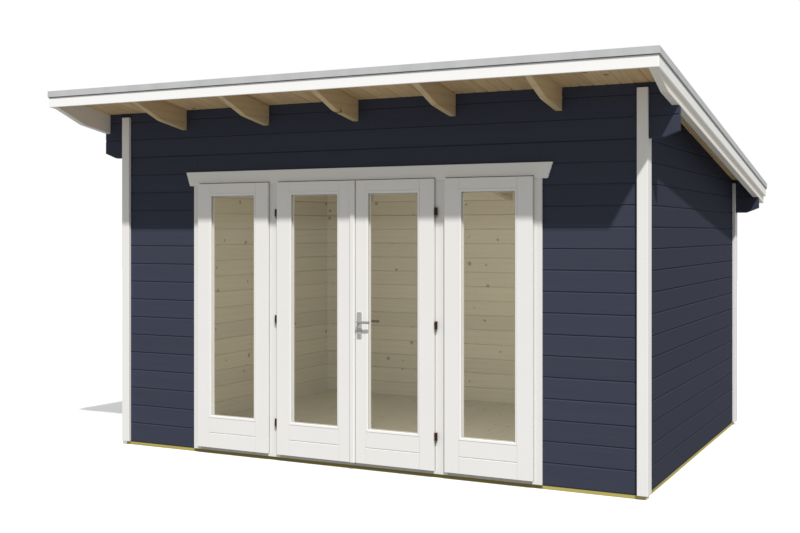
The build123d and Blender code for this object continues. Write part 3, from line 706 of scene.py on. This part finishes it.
# brown sleeves over the knuckles, a tapered grey tip under each hinge
hinge = {"x": 0.624, "y": -1.3645, "heights": (0.2666, 1.0, 1.7508), "half": 0.034, "sides": 28, "round": 40,
         "sleeve": 0.0102, "sleeveTaper": 0.97, "upperRise": 0.0002, "upperLap": 0.0006, "lower": 0.016,
         "lowerRise": -0.0005, "tip": 0.008, "tipTaper": 0.5, "stud": 0.004}
up, down, inwards = (0, 0, 1), (0, 0, -1), (0, 1, 0)


def hingeRounds(name, body, sides, rise, way, shape, finish, node=None):
    length, radius, taper = shape
    spots = [((side * hinge["x"], hinge["y"], height + rise), way) for side in sides for height in hinge["heights"]]
    rounds = growPiece(name, fixingHeads, {"Sides": hinge["sides"], "Radius": radius, "Taper": taper, "Height": length,
                                           "Finish": finishes[finish]}, spots)
    smoothRound(rounds.data, hinge["round"])
    settle(rounds, body, node)


for name, side in (("left", -1), ("right", 1)):
    hingeRounds(name + "_hinge_sleeves", name + "_door", (side,), hinge["upperRise"], up,
                (hinge["half"] + hinge["upperLap"], hinge["sleeve"], hinge["sleeveTaper"]), "hingeBrown")
hingeRounds("frame_hinge_sleeves", "cabin", (-1, 1), hinge["lowerRise"], down,
            (hinge["lower"], hinge["sleeve"], hinge["sleeveTaper"]), "hingeBrown")
hingeRounds("hinge_tips", "cabin", (-1, 1), -hinge["lower"], down,
            (hinge["half"] - hinge["lower"], hinge["tip"], hinge["tipTaper"]), "hingeGrey", "hinge_pins")
hingeRounds("hinge_studs", "cabin", (-1, 1), -hinge["half"] / 2, inwards,
            (site["frameFace"] - hinge["y"], hinge["stud"], 1.0), "hingeGrey")
dressNode("handle_plates", "right_door", "handleNickel", doorEdges["fitting"], True)
dressNode("door_lever", "door_lever", "leverSteel", rounded=True)

# plate screws and key slots on both sides of the door
plate = {"x": 0.056, "faces": ((-1.3815, -1), (-1.3135, 1)), "screws": (0.911, 1.069),
         "screw": {"Sides": 12, "Radius": 0.0034, "Taper": 0.7, "Height": 0.0009},
         "key": 0.929, "slotHalf": (0.0012, 0.005), "slotFrom": 0.002, "slotTo": 0.0033}
spots = [((plate["x"], face, height), (0, way, 0)) for face, way in plate["faces"] for height in plate["screws"]]
screws = growPiece("plate_screws", fixingHeads, {**plate["screw"], "Finish": finishes["hingeGrey"]}, spots)
settle(screws, "right_door")
# each key slot is a black block on the plate: painted shade of the keyhole
shell = bmesh.new()
wide, tall = plate["slotHalf"]
for face, way in plate["faces"]:
    slot = rectangle(plate["x"] - wide, face + way * plate["slotFrom"], plate["x"] + wide, face + way * plate["slotTo"])
    extrudeOutline(shell, slot, plate["key"] - tall, plate["key"] + tall, "Z")
settle(pieceFromShell("key_slots", shell, "sealAndShadowBlack"), "right_door")

# a soft seal fills most of the gap where the doors meet
meetingSeal = {"x": (0.0195, 0.0225), "y": (-1.3725, -1.352), "above": 0.006, "below": 0.022}
shell = bmesh.new()
(left, right), (near, far) = meetingSeal["x"], meetingSeal["y"]
extrudeOutline(shell, rectangle(left, near, right, far), leaf["bottom"] + meetingSeal["above"],
               leaf["top"] - meetingSeal["below"], "Z")
settle(pieceFromShell("meeting_seal", shell, "greyTrim"), "left_door")

# a black strip between the base rails and the first logs is painted shadow: the dark line where the logs overhang the
# rails
paintedShade = {"bottom": 0.0235, "top": 0.0295, "stand": 0.0015, "sideStart": -1.2335, "sideEnd": 1.5665}
out, post, board = paintedShade["stand"], site["framePost"], site["cornerBoard"]
front, back, side = site["frontFace"], site["backFace"], site["sideFace"]
shell = bmesh.new()
outlines = [rectangle(near, y - out, far, y + out) for near, far, y in (
    (-board, -post, front), (post, board, front), (-board, board, back))]
outlines += [rectangle(x - out, paintedShade["sideStart"], x + out, paintedShade["sideEnd"]) for x in (-side, side)]
for outline in outlines:
    extrudeOutline(shell, outline, paintedShade["bottom"], paintedShade["top"], "Z")
settle(pieceFromShell("shadow_strips", shell, "shadowBlack"), "cabin")

# painted nail heads in the corner boards, the bargeboards and the header board
nail = {"head": {"Sides": 10, "Radius": 0.0042, "Taper": 0.75, "Height": 0.0011},
        "corner": {"rows": 6, "lowest": 0.12, "step": 0.44, "x": 1.992, "thick": 0.026, "inset": 0.05,
                   "frontTop": 2.15, "backRows": 1.9, "backTop": 1.7},
        "barge": {"count": 7, "first": -1.8, "step": 0.6, "drop": 0.045},
        "header": {"count": 7, "first": -1.32, "step": 0.44, "height": 2.02}}
corner, barge, header = nail["corner"], nail["barge"], nail["header"]
front, back, side = [site[name] for name in ("frontFace", "backFace", "sideFace")]
spots = []
for count in range(corner["rows"]):
    height = corner["lowest"] + count * corner["step"]
    for way in (-1, 1):
        x, sideX = way * corner["x"], way * (side + corner["thick"])
        spots += [((x, front - corner["thick"], height), (0, -1, 0)),
                  ((sideX, front + corner["inset"], min(height, corner["frontTop"])), (way, 0, 0))]
        if height < corner["backRows"]:
            spots += [((x, back + corner["thick"], height), (0, 1, 0)),
                      ((sideX, back - corner["inset"], min(height, corner["backTop"])), (way, 0, 0))]
for count in range(barge["count"]):
    y = barge["first"] + count * barge["step"]
    spots += [((way * site["bargeFace"], y, soffit(y) - barge["drop"]), (way, 0, 0)) for way in (-1, 1)]
spots += [((header["first"] + count * header["step"], site["frameFace"], header["height"]), (0, -1, 0))
          for count in range(header["count"])]
nails = growPiece("nail_heads", fixingHeads, {**nail["head"], "Finish": finishes["whiteUpright"]}, spots)
settle(nails, "cabin")

# lap joints between the sheets of roof felt
lap = {"count": 3, "first": -0.95, "step": 0.95, "width": 0.05, "depth": 0.0026, "chamfer": 0.0008, "rise": 0.0225,
       "half": 2.16, "seed": 5}
laps = growPiece("felt_laps", boardRow, {
    "Count": lap["count"], "Start": (-lap["half"], lap["first"], soffit(lap["first"]) + lap["rise"]),
    "Step": (0, lap["step"], -lap["step"] * site["slope"]), "Run": (2 * lap["half"], 0, 0), "Width": lap["width"],
    "Depth": lap["depth"], "Chamfer": lap["chamfer"], "Tilt": roofPitch, "Seed": lap["seed"],
    "Finish": finishes["roofFelt"]})
settle(laps, "cabin")
print("fixings, seals and laps added")

# stage, light and camera
studio = {"half": 30.0, "speckle": 0.4, "dull": (0.81, 0.82, 0.84), "pale": (0.84, 0.85, 0.87), "glow": 0.3}
half = studio["half"]
floorMesh = bpy.data.meshes.new("studioFloor")
floorMesh.from_pydata([(x, y, 0) for x, y in rectangle(-half, -half, half, half)], [], [(0, 1, 2, 3)])
floor = addToScene("studioFloor", floorMesh)
floorMaterial, tree, place = startMaterial("studioFloor")
speckle = noise(tree, place, studio["speckle"], 2.0)
endMaterial(tree, {"Base Color": mixColours(tree, speckle, (*studio["dull"], 1), (*studio["pale"], 1)),
                   "Roughness": 0.9, "Emission Color": (1, 1, 1, 1), "Emission Strength": studio["glow"]})
floorMesh.materials.append(floorMaterial)
floor.visible_diffuse = floor.visible_glossy = False  # the soft sky fills the shade evenly, from below too

light = {"sunTowards": (0.3825, -0.5063, 0.7729), "sunStrength": 3.45, "sunSize": 1.6, "sunColour": (1.0, 0.985, 0.97),
         "roomPlace": (0.4, -1.22, 1.45), "roomSize": (2.7, 1.7), "roomPower": 32.5,
         "sky": 0.445, "skyColour": (0.965, 0.965, 0.945)}
sun = bpy.data.lights.new("keySun", "SUN")
sun.energy = light["sunStrength"]
sun.angle = math.radians(light["sunSize"])
sun.color = light["sunColour"]
sunX, sunY, sunZ = light["sunTowards"]
addToScene("keySun", sun).rotation_euler = (math.acos(sunZ), 0, math.atan2(sunX, -sunY))
room = bpy.data.lights.new("roomFill", "AREA")  # lifts the room behind the glass
room.shape = "RECTANGLE"
room.size, room.size_y = light["roomSize"]
room.energy = light["roomPower"]
roomLamp = addToScene("roomFill", room)
roomLamp.location = light["roomPlace"]
roomLamp.rotation_euler = (math.radians(90), 0, 0)  # towards the back wall
roomLamp.visible_camera = roomLamp.visible_glossy = False
world = bpy.data.worlds.new("softSky")
world.use_nodes = True
tree = world.node_tree
tree.nodes.clear()
sky = put(tree, "ShaderNodeBackground", {"Color": (*light["skyColour"], 1), "Strength": light["sky"]}).outputs[0]
backdrop = put(tree, "ShaderNodeBackground", {"Color": (1, 1, 1, 1), "Strength": 1.0}).outputs[0]
seen = put(tree, "ShaderNodeLightPath").outputs["Is Camera Ray"]
shown = put(tree, "ShaderNodeMixShader", {0: seen, 1: sky, 2: backdrop}).outputs[0]
put(tree, "ShaderNodeOutputWorld", {"Surface": shown})
scene.world = world

view = {"place": (3.6906, -8.012, 1.6211), "turn": 26.623, "lens": 50.0, "sensor": 36.0, "shift": -0.0426,
        "reach": 200.0}
camera = bpy.data.cameras.new("viewer")
camera.lens = view["lens"]
camera.sensor_width = view["sensor"]
camera.shift_y = view["shift"]
camera.clip_end = view["reach"]
viewer = addToScene("viewer", camera)
viewer.location = view["place"]
viewer.rotation_euler = (math.radians(90), 0, math.radians(view["turn"]))
scene.camera = viewer
scene.view_settings.view_transform = "Standard"

print("scene ready")
